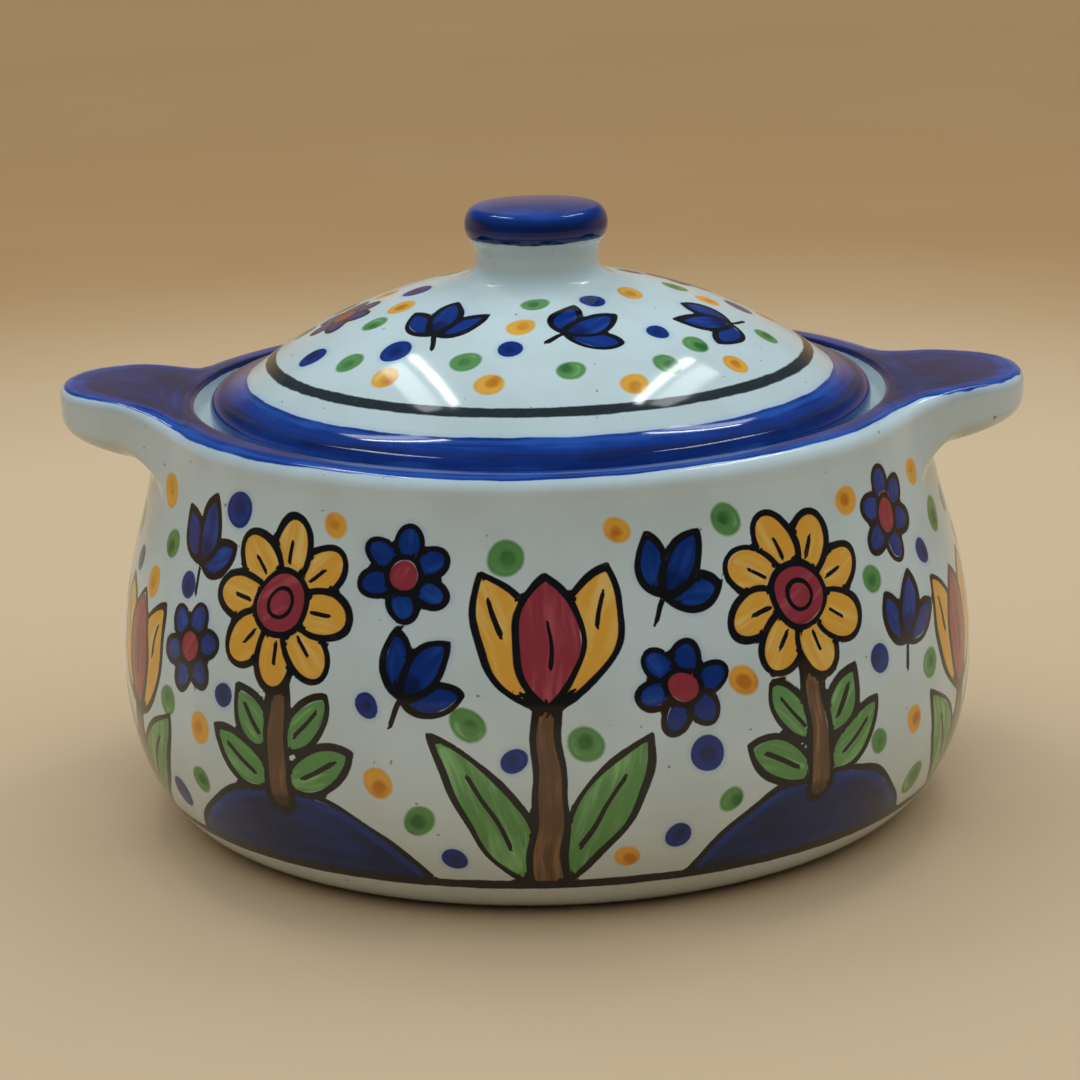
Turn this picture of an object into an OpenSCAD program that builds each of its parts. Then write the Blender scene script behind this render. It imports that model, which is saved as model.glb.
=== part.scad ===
// Lidded ceramic casserole dish: a round-bellied pot with two lug handles at
// its rim, and a domed lid with a disc knob that drops into a stepped seat in the rim.
// Millimetres, +Z up. The origin is the middle of the foot, and the handles lie along X.

/* [Pot] */
// Largest radius of the belly
belly_r = 100; // [95:0.5:125]
// Height of the widest part of the belly
belly_z = 35.5; // [28:0.5:44]
// Radius of the circle that the pot stands on
foot_r = 79; // [65:0.5:84]
// Outer radius of the rim
rim_r = 89.5; // [80:0.5:98]
// Height of the rim
rim_z = 98; // [80:0.5:120]
// How far the wall keeps upright above the belly
belly_hold = 26; // [15:0.5:30]
// How far below the rim the wall starts to straighten
neck_pull = 24; // [15:0.5:30]
// Lean of the wall towards the axis at the rim, in degrees
neck_lean = 7; // [0:0.5:15]
// Thickness of the wall
wall = 6; // [4:0.25:8]
// Thickness of the base over the foot ring
base_t = 7; // [5.5:0.25:9]

/* [Foot ring] */
// Width of the ring that touches the table
foot_w = 7; // [4:0.5:12]
// Depth of the hollow inside the ring
foot_recess = 2; // [1:0.25:3]
// Width of the slope from the ring up into the hollow
foot_slope = 2; // [1:0.25:4]

/* [Rim and lid seat] */
// Width of the rim's top band
rim_w = 9; // [8:0.5:13]
// Width of the rim's round shoulder
rim_round_w = 6.5; // [4:0.25:7.5]
// Depth of the rim's round shoulder
rim_round_h = 5; // [2.5:0.25:6]
// Radius of the rim's inner edge
rim_inner_round = 1.2; // [0.5:0.1:2]
// Depth of the lid seat below the rim
seat_depth = 5; // [4:0.25:9]
// Width of the ledge that carries the lid
seat_w = 9.5; // [8:0.5:13]
// Radius in the corner between the ledge and the wall around it
seat_fillet = 1.2; // [0.5:0.1:2]
// Thickness of the ledge at the mouth
lip_t = 5.5; // [4:0.25:8]
// Radius of the edges of the mouth
lip_round = 1; // [0.5:0.1:1.5]

/* [Lug handles] */
// How far a lug stands out past the rim
lug_reach = 23; // [16:0.5:34]
// Width of a lug
lug_w = 45; // [34:0.5:60]
// Length of the rounded end of a lug
lug_end = 26; // [18:0.5:34]
// Thickness at the tip
lug_tip_t = 10; // [7:0.25:11]
// Thickness at the rim, without the fillet under it
lug_root_t = 13; // [10:0.25:15]
// Drop of the lug's top below the rim where the two meet
lug_drop = 0.8; // [0.3:0.1:1.5]
// Rise of the lug's top from there to the tip
lug_rise = 3.6; // [0:0.2:5]
// Radius of the lug's upper edge
lug_top_round = 2; // [1:0.25:2.5]
// Radius of the lug's lower edge
lug_under_round = 4; // [2:0.25:4]
// Radius of the sweep from a lug's side into the rim
lug_flare_r = 15; // [10:0.5:20]
// Distance from the rim at which that sweep starts
lug_flare_start = 6.5; // [4:0.5:10]
// Radius of the fillet between the lug's underside and the wall
lug_fillet_r = 9; // [6:0.5:12]

/* [Lid] */
// Gap between the lid's edge and the wall around its seat
lid_clearance = 3.5; // [1:0.25:4]
// Thickness of the flange at its edge
flange_t = 6.6; // [5:0.1:9]
// Depth of the round upper edge of the flange
flange_round = 3; // [2:0.25:4]
// Radius of the flange's lower edge
flange_under_round = 1.6; // [0.8:0.1:2]
// Width of the flange from its edge to the foot of the dome
flange_w = 14.5; // [12:0.5:20]
// Width of the flat under the flange
flange_flat = 7.5; // [6:0.5:9]
// Height of the sweep from the flange up to the foot of the dome
cove_h = 6.7; // [4:0.1:9]
// Rise of the dome above its foot
dome_rise = 19; // [12:0.5:30]
// Thickness of the dome
lid_t = 5.5; // [4:0.25:7]

/* [Knob] */
// Radius of the knob where it joins the dome
knob_base_r = 17; // [15.5:0.5:20]
// Radius of the neck
neck_r = 14.3; // [10:0.1:15]
// Height of the flare at the foot of the neck
neck_flare_h = 4.5; // [3:0.25:6]
// Height of the neck up to the head
neck_h = 8.5; // [6.5:0.25:14]
// Radius of the head
head_r = 16.6; // [15.5:0.1:24]
// Thickness of the head at its edge
head_t = 8.2; // [6:0.2:11]
// Depth of the head's round edge
head_round = 2.6; // [1.5:0.1:4]
// Rise of the head's crowned top
head_crown = 0.6; // [0.2:0.1:2]

/* [Hidden] */
$fn = 180;
white_glaze = [0.93, 0.93, 0.91];
cobalt_glaze = [0.13, 0.22, 0.53];
// Steps along a long curve, round a small edge and over the rim's shoulder
curve_steps = 14;
edge_steps = 5;
rim_steps = 9;

// Where the rim's crown, the lid seat and the mouth lie, from the rim inwards
crown_r = rim_r - rim_round_w;
seat_r = rim_r - rim_w;
seat_z = rim_z - seat_depth;
mouth_r = seat_r - seat_w;
lip_z = seat_z - lip_t;

// Where the lid's own features lie, from its edge inwards
lid_r = seat_r - lid_clearance;
flange_top_z = seat_z + flange_t;
dome_r = lid_r - flange_w;
dome_z = flange_top_z + cove_h;
dome_ball_r = (dome_r * dome_r + dome_rise * dome_rise) / (2 * dome_rise);
dome_ball_z = dome_z + dome_rise - dome_ball_r;
dome_slope = asin(dome_r / dome_ball_r);
lid_flat_r = lid_r - flange_flat;

// Where the knob stands on the dome
knob_z = dome_height(knob_base_r);
head_z = knob_z + neck_h;

// Points of a circular or oval arc about c, with half-axes rx and rz, from angle a to b
function arc(c, rx, rz, a, b, steps = edge_steps) =
    [for (i = [0:steps]) let (t = a + (b - a) * i / steps) c + [rx * cos(t), rz * sin(t)]];

// Point, and direction of travel, on a curve with two end points and two guide points
function bend_at(p, t) =
    pow(1 - t, 3) * p[0] + 3 * pow(1 - t, 2) * t * p[1] + 3 * (1 - t) * t * t * p[2] + pow(t, 3) * p[3];
function bend_way(p, t) =
    unit(pow(1 - t, 2) * (p[1] - p[0]) + 2 * (1 - t) * t * (p[2] - p[1]) + t * t * (p[3] - p[2]));
function bend(p, from = 0, to = 1, steps = curve_steps) =
    [for (i = [0:steps]) bend_at(p, from + (to - from) * i / steps)];
function unit(v) = v / norm(v);
function left_of(v) = [-v[1], v[0]];
function turned(list) = [for (i = [len(list) - 1:-1:0]) list[i]];

// Outside of the pot: a quarter oval from the foot to the belly, then a long bend to the rim
function belly_at(a) = [foot_r + (belly_r - foot_r) * sin(a), belly_z * (1 - cos(a))];
function belly_way(a) = unit([(belly_r - foot_r) * cos(a), belly_z * sin(a)]);
shoulder = [
    [belly_r, belly_z],
    [belly_r, belly_z + belly_hold],
    [rim_r + neck_pull * tan(neck_lean), rim_z - rim_round_h - neck_pull],
    [rim_r, rim_z - rim_round_h]
];
function pot_outside() = concat(
    [for (i = [0:curve_steps - 1]) belly_at(90 * i / curve_steps)],
    bend(shoulder),
    arc([crown_r, rim_z - rim_round_h], rim_round_w, rim_round_h,
        90 / rim_steps, 90, rim_steps - 1)
);

// Inside of the pot: the outside moved in by the wall, then swept inwards under the ledge
ledge_from = 0.45;
ledge_guide = 12;
function inner_belly_at(a) =
    belly_at(a) + (base_t + (wall - base_t) * sin(a)) * left_of(belly_way(a));
function inner_shoulder_at(t) = bend_at(shoulder, t) + wall * left_of(bend_way(shoulder, t));
under_ledge = [
    inner_shoulder_at(ledge_from),
    inner_shoulder_at(ledge_from) + ledge_guide * bend_way(shoulder, ledge_from),
    [mouth_r + lip_round + seat_w, lip_z - lip_t / 2],
    [mouth_r + lip_round, lip_z]
];
function pot_inside() = concat(
    [[0, base_t]],
    [for (i = [0:curve_steps - 1]) inner_belly_at(90 * i / curve_steps)],
    [for (i = [0:curve_steps - 1]) inner_shoulder_at(ledge_from * i / curve_steps)],
    bend(under_ledge)
);

// Rim, lid seat and mouth, from the rim's top inwards and down
function pot_seat() = concat(
    arc([seat_r + rim_inner_round, rim_z - rim_inner_round], rim_inner_round, rim_inner_round, 90, 180),
    arc([seat_r - seat_fillet, seat_z + seat_fillet], seat_fillet, seat_fillet, 0, -90),
    arc([mouth_r + lip_round, seat_z - lip_round], lip_round, lip_round, 90, 180),
    arc([mouth_r + lip_round, lip_z + lip_round], lip_round, lip_round, 180, 252, edge_steps - 1)
);

function pot_foot() = [
    [0, foot_recess],
    [foot_r - foot_w - foot_slope, foot_recess],
    [foot_r - foot_w, 0]
];

module bowl() {
    color(white_glaze)
    rotate_extrude()
    polygon(concat(pot_foot(), pot_outside(), pot_seat(), turned(pot_inside())));
}

// The pot's outside filled to the axis, for cutting pieces to fit against the wall
module pot_filled() {
    rotate_extrude()
    polygon(concat([[0, 0]], pot_outside(), [[0, rim_z]]));
}

// Lug handles: an edge section carried round a plan outline, which runs from inside the
// wall, out along the sweep and round the oval end to the tip, and back on the other side
lug_tip_x = rim_r + lug_reach;
lug_oval_x = lug_tip_x - lug_end;
lug_sweep_x = rim_r + lug_flare_start;
lug_root_x = mouth_r;
lug_sweep_turn = 70;
lug_sweep_steps = 8;
lug_oval_steps = 14;
lug_edge_steps = 4;
lug_across = 8;
// The fillet's circle stands a little way inside the wall, so that it meets the wall at an angle
lug_fillet_x = rim_r + lug_fillet_r;
lug_fillet_share = 0.97;

function lug_oval_y(x) =
    lug_w / 2 * sqrt(1 - pow(max(0, min(1, (x - lug_oval_x) / lug_end)), 2));
function lug_sweep_at(a) =
    let (x = lug_sweep_x - lug_flare_r * sin(a)) [x, lug_oval_y(x) + lug_flare_r * (1 - cos(a))];
function lug_oval_at(a) = [lug_oval_x + lug_end * sin(a), lug_w / 2 * cos(a)];
lug_oval_from = asin((lug_sweep_x - lug_oval_x) / lug_end);

function lug_half() = concat(
    [[lug_root_x, lug_sweep_at(lug_sweep_turn)[1]]],
    [for (i = [0:lug_sweep_steps - 1]) lug_sweep_at(lug_sweep_turn * (1 - i / lug_sweep_steps))],
    [for (i = [0:lug_oval_steps]) lug_oval_at(lug_oval_from + (90 - lug_oval_from) * i / lug_oval_steps)]
);
function lug_outline() =
    let (half = lug_half(), n = len(half))
    concat(half, [for (i = [n - 2:-1:0]) [half[i][0], -half[i][1]]]);

// Direction from an outline point towards the inside of the lug. Where the outline turns
// back into the wall, the point takes the direction of the sweep alone.
function lug_inward(outline, i) =
    let (n = len(outline))
    i == 0 ? [0, -1] : i == n - 1 ? [0, 1] :
    unit(left_of(outline[max(1, i - 1)] - outline[min(n - 2, i + 1)]));

// Height of the lug's top at a distance x from the middle of the pot
function lug_top(x) =
    let (along = max(0, min(1, (x - crown_r) / (lug_tip_x - crown_r))))
    rim_z - lug_drop + lug_rise * sin(90 * along);

// Thickness of the lug at a distance r from the axis, with the fillet against the wall
function lug_thickness(r) =
    let (
        along = max(0, (lug_tip_x - max(r, rim_r)) / lug_reach),
        into = max(0, min(lug_fillet_r * lug_fillet_share, lug_fillet_x - r))
    )
    lug_tip_t + (lug_root_t - lug_tip_t) * along
    + lug_fillet_r - sqrt(lug_fillet_r * lug_fillet_r - into * into);

// Round edges of the lug as [distance inwards, distance from its top or its underside]
lug_top_edge = [for (i = [0:lug_edge_steps]) let (a = 90 - 90 * i / lug_edge_steps)
    lug_top_round * [1 - cos(a), 1 - sin(a)]];
lug_under_edge = [for (i = [0:lug_edge_steps]) let (a = 90 * i / lug_edge_steps)
    lug_under_round * [1 - cos(a), 1 - sin(a)]];

module lug() {
    outline = lug_outline();
    stations = len(outline);
    tip = floor(stations / 2);
    ring = 2 * (lug_edge_steps + 1);
    last = ring - 1;
    inward = [for (i = [0:stations - 1]) lug_inward(outline, i)];
    under = [for (i = [0:stations - 1]) outline[i] + lug_under_round * inward[i]];
    edge_points = [for (i = [0:stations - 1]) each concat(
        [for (e = lug_top_edge) let (p = outline[i] + e[0] * inward[i])
            [p[0], p[1], lug_top(p[0]) - e[1]]],
        [for (e = lug_under_edge) let (p = outline[i] + e[0] * inward[i])
            [p[0], p[1], lug_top(p[0]) - lug_thickness(norm(p)) + e[1]]]
    )];
    under_points = [
        for (i = [0:tip - 1]) for (k = [1:lug_across - 1])
        let (p = under[i] + (under[stations - 1 - i] - under[i]) * k / lug_across)
        [p[0], p[1], lug_top(p[0]) - lug_thickness(norm(p))]
    ];
    // Rows of the underside, each from one edge across to the other
    inner = len(edge_points);
    rows = [for (i = [0:tip - 1]) concat(
        [i * ring + last],
        [for (k = [0:lug_across - 2]) inner + i * (lug_across - 1) + k],
        [(stations - 1 - i) * ring + last]
    )];
    edge_faces = [
        for (i = [0:stations - 2]) for (j = [0:last - 1])
        let (a = i * ring + j)
        each [[a, a + 1, a + ring + 1], [a, a + ring + 1, a + ring]]
    ];
    top_faces = [
        for (i = [0:tip - 1])
        let (a = i * ring, b = (stations - 1 - i) * ring)
        i < tip - 1 ? [a, a + ring, b - ring, b] : [a, a + ring, b]
    ];
    under_faces = [
        for (i = [0:tip - 2]) for (k = [0:lug_across - 1])
        let (a = rows[i], b = rows[i + 1])
        each [[a[k], a[k + 1], b[k + 1]], [a[k], b[k + 1], b[k]]]
    ];
    tip_faces = [
        for (k = [0:lug_across - 1])
        [rows[tip - 1][k], rows[tip - 1][k + 1], tip * ring + last]
    ];
    // The end inside the wall closes on one point
    root_point = [lug_root_x - lug_root_t, 0, lug_top(lug_root_x) - lug_root_t / 2];
    root_loop = concat(
        [for (j = [last:-1:0]) j],
        [for (j = [0:last]) (stations - 1) * ring + j],
        [for (k = [lug_across - 1:-1:1]) rows[0][k]]
    );
    root_faces = [
        for (k = [0:len(root_loop) - 1])
        [root_loop[k], root_loop[(k + 1) % len(root_loop)], inner + len(under_points)]
    ];
    difference() {
        polyhedron(
            concat(edge_points, under_points, [root_point]),
            concat(edge_faces, top_faces, under_faces, tip_faces, root_faces)
        );
        pot_filled();
    }
}

module right_handle() {
    color(cobalt_glaze) lug();
}

module left_handle() {
    color(cobalt_glaze) mirror([1, 0, 0]) lug();
}

// Height of the dome's outside at a distance r from the axis
function dome_height(r) = dome_ball_z + sqrt(dome_ball_r * dome_ball_r - r * r);

// Sweep from the foot of the dome out to the flange
cove_guide = 5;
cove_fall = 10;
cove = [
    [dome_r, dome_z],
    [dome_r + cove_guide * cos(dome_slope), dome_z - cove_guide * sin(dome_slope)],
    [lid_r - flange_round - cove_guide, flange_top_z + cove_guide * tan(cove_fall)],
    [lid_r - flange_round, flange_top_z]
];

// Underside of the lid, from the dome's inside down to the flat under the flange
inner_ball_r = dome_ball_r - lid_t;
inner_angle = asin((dome_r - lid_t / 2) / inner_ball_r);
inner_foot = [0, dome_ball_z] + inner_ball_r * [sin(inner_angle), cos(inner_angle)];
inner_cove = [
    inner_foot,
    inner_foot + cove_guide * [cos(inner_angle), -sin(inner_angle)],
    [lid_flat_r, seat_z + flange_t / 2],
    [lid_flat_r, seat_z]
];

function dome_outside() =
    let (from = asin(knob_base_r / dome_ball_r))
    [for (i = [0:curve_steps - 1]) let (a = from + (dome_slope - from) * i / curve_steps)
        [dome_ball_r * sin(a), dome_ball_z + dome_ball_r * cos(a)]];
function dome_inside() =
    [for (i = [0:curve_steps - 1]) let (a = inner_angle * i / curve_steps)
        [inner_ball_r * sin(a), dome_ball_z + inner_ball_r * cos(a)]];
function flange_edge() = concat(
    arc([lid_r - flange_round, seat_z + flange_t / 2], flange_round, flange_t / 2, 72, 0, edge_steps - 1),
    arc([lid_r - flange_under_round, seat_z + flange_under_round],
        flange_under_round, flange_under_round, 0, -90)
);

module lid() {
    color(white_glaze)
    rotate_extrude()
    polygon(concat(
        [[0, knob_z]], dome_outside(), bend(cove), flange_edge(),
        turned(concat(dome_inside(), bend(inner_cove)))
    ));
}

// Knob: a neck that flares onto the dome, and a disc head with a round edge and a low crown
neck_flare = [
    [knob_base_r, knob_z],
    [(knob_base_r + neck_r) / 2, knob_z],
    [neck_r, knob_z + neck_flare_h / 2],
    [neck_r, knob_z + neck_flare_h]
];
head_edge = [head_r - head_round, head_z + head_t / 2];
under_head_angle = neck_r > head_edge[0] ? -acos((neck_r - head_edge[0]) / head_round) : -90;

function head_top(r) =
    let (share = r / head_edge[0]) [r, head_z + head_t + head_crown * (1 - share * share)];

module knob() {
    color(cobalt_glaze)
    rotate_extrude()
    polygon(concat(
        [[0, knob_z]], bend(neck_flare, steps = 2 * edge_steps),
        arc(head_edge, head_round, head_t / 2, under_head_angle, 90, 3 * edge_steps),
        [for (i = [edge_steps - 1:-1:0]) head_top(head_edge[0] * i / edge_steps)]
    ));
}

bowl();
left_handle();
right_handle();
lid();
knob();
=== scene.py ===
import math

import bpy
import numpy as np
from mathutils import Matrix, Vector


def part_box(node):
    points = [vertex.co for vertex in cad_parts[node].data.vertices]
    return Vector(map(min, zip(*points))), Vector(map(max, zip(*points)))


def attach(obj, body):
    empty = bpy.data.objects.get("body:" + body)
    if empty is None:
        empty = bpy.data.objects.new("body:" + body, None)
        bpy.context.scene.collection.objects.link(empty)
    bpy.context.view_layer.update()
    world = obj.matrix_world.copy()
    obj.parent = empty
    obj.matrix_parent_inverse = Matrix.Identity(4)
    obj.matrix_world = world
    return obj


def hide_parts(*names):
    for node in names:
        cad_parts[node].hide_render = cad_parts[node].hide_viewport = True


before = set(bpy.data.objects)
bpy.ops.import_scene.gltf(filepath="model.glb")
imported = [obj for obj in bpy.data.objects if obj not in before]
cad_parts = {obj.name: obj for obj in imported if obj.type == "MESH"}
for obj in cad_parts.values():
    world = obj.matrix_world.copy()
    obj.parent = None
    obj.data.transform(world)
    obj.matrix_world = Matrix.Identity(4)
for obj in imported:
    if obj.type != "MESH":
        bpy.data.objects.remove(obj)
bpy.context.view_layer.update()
MM = 0.001
TURN = 2 * math.pi
chance = np.random.default_rng(seed=20)


# Sizes that the frame gives
def highest_corner(node):
    return np.array(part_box(node)[1]) / MM


def lowest_z(node):
    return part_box(node)[0][2] / MM


belly_r = highest_corner("bowl")[0]
rim_z = highest_corner("bowl")[2]
seat_z = lowest_z("lid")
lid_r = highest_corner("lid")[0]
lug_tip_x = highest_corner("right_handle")[0]
lug_tip_z = highest_corner("right_handle")[2]
knob_z = lowest_z("knob")
knob_top_z = highest_corner("knob")[2]

# Pot
belly_z = 35.5
foot_r = 79.0
rim_r = 89.5
belly_hold = 26.0
neck_pull = 24.0
neck_lean = math.radians(7)
wall = 6.0
base_t = 7.0
foot_w = 7.0
foot_recess = 2.0
foot_slope = 3.0
rim_w = 9.0
rim_round_w = 4.6
rim_round_h = 3.4
shoulder_drop = 5.0
rim_inner_round = 1.2
rim_tilt = 0.45
seat_w = 9.5
seat_fillet = 1.2
lip_t = 5.5
lip_round = 1.0
crown_r = rim_r - rim_round_w
seat_r = rim_r - rim_w
mouth_r = seat_r - seat_w
lip_z = seat_z - lip_t

# Lug handles. A lug's end is an oval made squarer by lug_square. Its top rises softly from lug_start_r on,
# and a lower lug_level makes it level out sooner. The lugs are made by hand: reach, lift and thicker say
# how each of them differs from the frame's.
lug_w = 45.0
lug_end = 26.0
lug_square = 2.3
lug_start_r = 81.5
lug_soft = 2.0
lug_level = 0.7
lug_tip_t = 10.0
lug_root_t = 14.6
lug_edge_round = 2.0
lug_under_round = 4.0
lug_flare_r = 14.0
lug_fillet_r = 5.2
RIGHT_LUG = {"reach": 0.45, "lift": -0.9, "thicker": -0.7}
LEFT_LUG = {"reach": -0.9, "lift": 1.0, "thicker": 0.0}

# Lid and knob
flange_t = 6.6
flange_round = 3.0
flange_under_round = 1.6
flange_w = 14.5
flange_flat = 7.5
cove_h = 6.7
dome_rise = 19.0
lid_t = 5.5
knob_base_r = 17.0
neck_r = 14.3
neck_flare_h = 4.5
head_r = 16.6
head_t = 8.2
head_round = 2.6
head_crown = 0.6


# Curves in the plane of radius and height
def arc(centre, rx, rz, start, end, steps=24):
    turn = np.radians(np.linspace(start, end, steps + 1))
    return np.column_stack([centre[0] + rx * np.cos(turn), centre[1] + rz * np.sin(turn)])


def round_arc(centre, r, start, end):
    return arc(centre, r, r, start, end)


def bend(points, start=0.0, end=1.0, steps=120):
    """Points, and unit directions of travel, on a curve with two end points and two guide points."""
    p = np.asarray(points, float)
    t = np.linspace(start, end, steps + 1)[:, None]
    place = (1 - t) ** 3 * p[0] + 3 * (1 - t) ** 2 * t * p[1] + 3 * (1 - t) * t * t * p[2] + t ** 3 * p[3]
    way = (1 - t) ** 2 * (p[1] - p[0]) + 2 * (1 - t) * t * (p[2] - p[1]) + t * t * (p[3] - p[2])
    return place, way / np.linalg.norm(way, axis=1)[:, None]


def left_of(way):
    return np.column_stack([-way[:, 1], way[:, 0]])


def lengths(points):
    """Distance along a line of points, at each of them."""
    steps = np.linalg.norm(np.diff(points, axis=0), axis=1)
    return np.concatenate([[0.0], np.cumsum(steps)])


def in_steps(points, count):
    """The line as count points, evenly spaced, with its own two ends."""
    points = np.asarray(points, float)
    along = lengths(points)
    at = np.linspace(0, along[-1], count)
    return np.column_stack([np.interp(at, along, column) for column in points.T])


def evenly(points, spacing):
    """The line as points that lie about spacing apart, with its own two ends."""
    return in_steps(points, max(1, round(lengths(points)[-1] / spacing)) + 1)


def joined(*stretches):
    """Several stretches as one line, without the points that repeat where they meet."""
    return np.vstack([stretches[0]] + [stretch[1:] for stretch in stretches[1:]])


def spaced(*stretches):
    """Several stretches as one line, each with its own spacing between points."""
    return joined(*(evenly(line, spacing) for line, spacing in stretches))


def smooth_step(value, low, high):
    share = np.clip((value - low) / (high - low), 0, 1)
    return share * share * (3 - 2 * share)


# The pot's outline: the foot, the outside up to the rim, over the rim, the seat, then the inside
belly_turn = np.radians(np.linspace(0, 90, 121))
belly = np.column_stack([
    foot_r + (belly_r - foot_r) * np.sin(belly_turn),
    belly_z * (1 - np.cos(belly_turn)),
])
belly_way = np.column_stack([(belly_r - foot_r) * np.cos(belly_turn), belly_z * np.sin(belly_turn)])
belly_way /= np.linalg.norm(belly_way, axis=1)[:, None]
shoulder_guides = [
    (belly_r, belly_z),
    (belly_r, belly_z + belly_hold),
    (rim_r + neck_pull * math.tan(neck_lean), rim_z - shoulder_drop - neck_pull),
    (rim_r, rim_z - shoulder_drop),
]
shoulder, _ = bend(shoulder_guides)
outside = joined(belly, shoulder)
outside_height = lengths(outside)


def pot_radius(z):
    """Outer radius of the pot's wall at a height."""
    return np.interp(z, outside[:, 1], outside[:, 0])


def foot_outline():
    ring_r = foot_r - foot_w
    middle_r = ring_r - foot_slope / 2
    hollow_r = ring_r - foot_slope
    slope, _ = bend([(hollow_r, foot_recess), (middle_r, foot_recess), (middle_r, 0), (ring_r, 0)])
    hollow = [(0, foot_recess), slope[0]]
    ring = [slope[-1], (foot_r, 0)]
    return spaced((hollow, 12), (slope, 0.6), (ring, 1.2))


def rim_outline():
    """Over the rim, from the wall to the edge above the seat."""
    crown = arc((crown_r, rim_z - rim_round_h), rim_round_w, rim_round_h, 0, 90)
    edge = round_arc((seat_r + rim_inner_round, rim_z - rim_inner_round), rim_inner_round, 90, 180)
    upright = [(rim_r, rim_z - shoulder_drop), crown[0]]
    level = [crown[-1], edge[0]]
    return spaced((upright, 0.75), (crown, 0.75), (level, 0.75), (edge, 0.45))


def seat_outline():
    """From the rim's inner edge down to the seat and round the lip."""
    corner = round_arc((seat_r - seat_fillet, seat_z + seat_fillet), seat_fillet, 0, -90)
    lip_top = round_arc((mouth_r + lip_round, seat_z - lip_round), lip_round, 90, 180)
    lip_low = round_arc((mouth_r + lip_round, lip_z + lip_round), lip_round, 180, 270)
    return spaced(
        ([(seat_r, rim_z - rim_inner_round), corner[0]], 0.9), (corner, 0.5),
        ([corner[-1], lip_top[0]], 1.2), (lip_top, 0.4),
        ([lip_top[-1], lip_low[0]], 1.2), (lip_low, 0.4),
    )


def inside_outline():
    """From the lip's underside down the wall and along the floor to the axis."""
    ledge_from = 0.45
    ledge_guide = 12.0
    upper, upper_way = bend(shoulder_guides, 0, ledge_from)
    upper = upper + wall * left_of(upper_way)
    depth = base_t + (wall - base_t) * np.sin(belly_turn)
    lower = belly + depth[:, None] * left_of(belly_way)
    under, _ = bend([
        upper[-1], upper[-1] + ledge_guide * upper_way[-1],
        (mouth_r + lip_round + seat_w, lip_z - lip_t / 2), (mouth_r + lip_round, lip_z),
    ])
    floor = np.array([(0, base_t), lower[0]])
    return evenly(joined(floor, lower, upper, under), 3.0)[::-1]


# Meshes
def revolve(stretches):
    """Outlines turned about the axis, one after the other: points, faces, and each point's way along them.

    A stretch has its own number of columns: as many as its neighbours, twice as many or half as many.
    """
    points, faces, along = [], [], []
    ring, walked, last = [], 0.0, stretches[0][0][0]
    for outline, columns in stretches:
        turns = np.arange(columns) * TURN / columns
        for r, z in outline:
            walked += math.dist(last, (r, z))
            last = (r, z)
            spokes = turns if r > 1e-6 else turns[:1]
            fresh = range(len(points), len(points) + len(spokes))
            points.extend((r * math.cos(turn), r * math.sin(turn), z) for turn in spokes)
            along.extend(walked for _ in spokes)
            if ring:
                faces.extend(stitched(ring, fresh))
            ring = fresh
    return np.array(points), faces, np.array(along)


def stitched(low, high):
    """Faces between two rings of points, which face outwards where the rings run up the outside."""
    count = max(len(low), len(high))
    faces = []
    for k in range(count):
        n = (k + 1) % count
        corners = (low[k * len(low) // count], low[n * len(low) // count],
                   high[n * len(high) // count], high[k * len(high) // count])
        faces.append(tuple(dict.fromkeys(corners)))
    return faces


def swayed(points, size, phase, lift):
    """Points moved a little, as a hand-made pot is never quite round nor its rim level.

    One rule holds all over the pot. keep_in holds what swells within the frame's box.
    """
    keep_in = 0.5
    turn = np.arctan2(points[:, 1], points[:, 0])
    z = points[:, 2]
    out = 0.30 * np.sin(2 * turn + phase) + 0.18 * np.sin(3 * turn + 2 * phase + z / 45)
    out += 0.10 * np.sin(5 * turn - z / 28 + 3 * phase)
    grow = 1 + size * (out - keep_in) / belly_r
    rise = 0.22 * np.sin(2 * turn + 1.3) + 0.1 * np.sin(5 * turn) - rim_tilt * np.sin(turn)
    rise = lift * smooth_step(z, seat_z + 1, rim_z) * rise
    return np.column_stack([points[:, 0] * grow, points[:, 1] * grow, z + rise])


def make_object(name, points, faces):
    mesh = bpy.data.meshes.new(name)
    mesh.from_pydata((points * MM).tolist(), [], faces)
    made = bpy.data.objects.new(name, mesh)
    bpy.context.scene.collection.objects.link(made)
    return made


def make_piece(points, faces, body, node):
    piece = make_object(node + "_glazed", points, faces)
    piece.data.polygons.foreach_set("use_smooth", np.ones(len(faces), bool))
    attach(piece, body)
    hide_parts(node)
    return piece


def give(piece, name, values):
    """Stores a number or a vector for each vertex of a piece, which its material reads."""
    values = np.asarray(values, np.float32)
    kind, field = ("FLOAT", "value") if values.ndim == 1 else ("FLOAT_VECTOR", "vector")
    layer = piece.data.attributes.new(name, kind, "POINT")
    layer.data.foreach_set(field, values.ravel())


# Flat maps, which lay the pieces out flat. A disc is its middle and its radius.
tile_pad = 0.012
tile_w = 0.5
tile_h = 0.4
FOOT_DISC = (0.1, 0.9, 0.096)
INSIDE_DISC = (0.3, 0.9, 0.096)
LARGE_DISC = (0.42, 0.42, 0.41)
SMALL_DISC = (0.9, 0.9, 0.09)


def face_corners(mesh):
    """Each face corner's vertex and face, and each face's first corner and number of corners."""
    corner = np.empty(len(mesh.loops), np.int32)
    mesh.loops.foreach_get("vertex_index", corner)
    first = np.empty(len(mesh.polygons), np.int32)
    mesh.polygons.foreach_get("loop_start", first)
    count = np.empty(len(mesh.polygons), np.int32)
    mesh.polygons.foreach_get("loop_total", count)
    return corner, np.repeat(np.arange(len(first)), count), first, count


def store_map(piece, flat):
    layer = piece.data.uv_layers.new(name="OFBake")
    layer.data.foreach_set("uv", np.asarray(flat, np.float32).ravel())


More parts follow.
